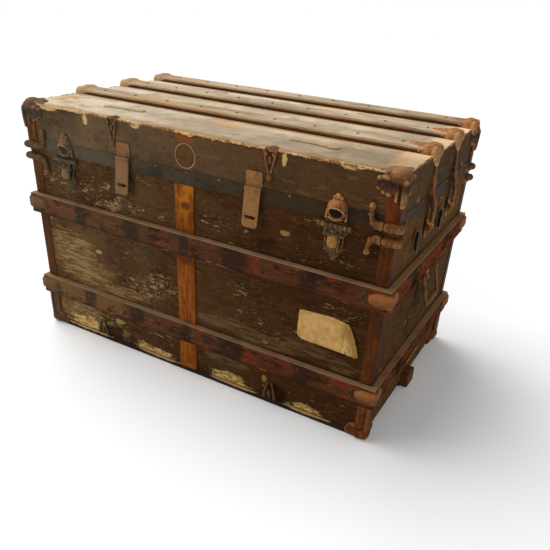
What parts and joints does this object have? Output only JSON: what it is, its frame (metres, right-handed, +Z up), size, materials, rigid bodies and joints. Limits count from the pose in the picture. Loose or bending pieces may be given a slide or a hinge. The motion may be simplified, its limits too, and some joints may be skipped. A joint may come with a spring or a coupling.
{
  "type": "travelling trunk",
  "caption": "Flat-topped canvas-covered travelling trunk with wooden slats, iron corner caps, latches, hasps and drop handles; the lid opens on rear hinges.",
  "frame": {"origin": "on the floor, at the middle of the whole trunk's footprint", "axes": "+X along the trunk's length to the right end as seen from the front, -Y out of the front with the latches, +Z up"},
  "size_m": [0.9648, 0.5508, 0.5875],
  "materials": {
    "board_wood": "dry unfinished boards",
    "slat_wood": "dark varnished hardwood, worn",
    "strip_wood": "orange-brown varnished wood, worn",
    "painted_canvas": "painted canvas, scuffed and torn along the bottom",
    "lining_paper": "plain aged lining paper",
    "label_paper": "bare aged paper, torn at one end",
    "band_iron": "dull dark grey iron",
    "rust_iron": "rusted orange-brown iron",
    "dark_iron": "dark worn iron",
    "hasp_iron": "tan-brown worn iron",
    "latch_brass": "tarnished brassed iron",
    "strap_iron": "worn orange-brown iron"
  },
  "bodies": {
    "base": {"front_board": "board_wood", "back_board": "board_wood", "left_end_board": "board_wood", "right_end_board": "board_wood", "bottom_planks": "board_wood", "front_slats": "slat_wood", "back_slats": "slat_wood", "left_end_slats": "slat_wood", "right_end_slats": "slat_wood", "bottom_runners": "slat_wood", "front_centre_strip": "strip_wood", "base_corner_bindings": "strip_wood", "base_canvas": "painted_canvas", "base_lining": "lining_paper", "paper_label": "label_paper", "lid_guide_rim": "band_iron", "base_hinge_leaves": "band_iron", "hinge_pins": "band_iron", "slat_corner_caps": "rust_iron", "bottom_corner_caps": "rust_iron", "runner_end_caps": "rust_iron", "bottom_edge_clips": "rust_iron", "hasp_staples": "rust_iron", "end_bumpers": "dark_iron", "base_nails": "dark_iron", "latch_springs": "dark_iron", "latch_plates": "dark_iron", "handle_brackets": "dark_iron", "latch_pins": "latch_brass", "end_sockets": "strap_iron", "base_corner_clamps": "strap_iron"},
    "lid": {"lid_front_rail": "board_wood", "lid_back_rail": "board_wood", "lid_left_rail": "board_wood", "lid_right_rail": "board_wood", "lid_top_planks": "board_wood", "lid_canvas": "painted_canvas", "lid_lining": "lining_paper", "lid_band": "band_iron", "lid_slats": "slat_wood", "lid_slat_caps": "rust_iron", "lid_corner_caps": "rust_iron", "lid_corner_strips": "strip_wood", "lid_corner_clamps": "strap_iron", "lid_front_clips": "hasp_iron", "lid_top_plates": "band_iron", "lid_front_disc": "rust_iron", "latch_catches": "latch_brass", "hasp_plates": "hasp_iron", "hasp_pins": "hasp_iron", "lid_hinge_leaves": "band_iron", "lid_end_straps": "strap_iron", "lid_nails": "dark_iron"},
    "left_latch_lever": {"left_latch_lever": "latch_brass"},
    "right_latch_lever": {"right_latch_lever": "latch_brass"},
    "left_hasp_strap": {"left_hasp_strap": "hasp_iron"},
    "right_hasp_strap": {"right_hasp_strap": "hasp_iron"},
    "left_handle": {"left_handle": "dark_iron"},
    "right_handle": {"right_handle": "dark_iron"}
  },
  "joints": [
    {"name": "lid_hinge", "type": "hinge", "parent": "base", "child": "lid", "pos_m": [0, 0.2585, 0.465], "axis": [-1, 0, 0], "range_deg": [0, 100]},
    {"name": "left_latch", "type": "hinge", "parent": "base", "child": "left_latch_lever", "pos_m": [-0.336, -0.263, 0.457], "axis": [-1, 0, 0], "range_deg": [0, 90]},
    {"name": "right_latch", "type": "hinge", "parent": "base", "child": "right_latch_lever", "pos_m": [0.336, -0.263, 0.457], "axis": [-1, 0, 0], "range_deg": [0, 90]},
    {"name": "left_hasp", "type": "hinge", "parent": "lid", "child": "left_hasp_strap", "pos_m": [-0.165, -0.2582, 0.49], "axis": [-1, 0, 0], "range_deg": [0, 150]},
    {"name": "right_hasp", "type": "hinge", "parent": "lid", "child": "right_hasp_strap", "pos_m": [0.16, -0.2582, 0.49], "axis": [-1, 0, 0], "range_deg": [0, 150]},
    {"name": "left_handle_swing", "type": "hinge", "parent": "base", "child": "left_handle", "pos_m": [-0.462, 0.008, 0.29801], "axis": [0, 1, 0], "range_deg": [0, 90]},
    {"name": "right_handle_swing", "type": "hinge", "parent": "base", "child": "right_handle", "pos_m": [0.462, 0.008, 0.29801], "axis": [0, -1, 0], "range_deg": [0, 90]}
  ]
}
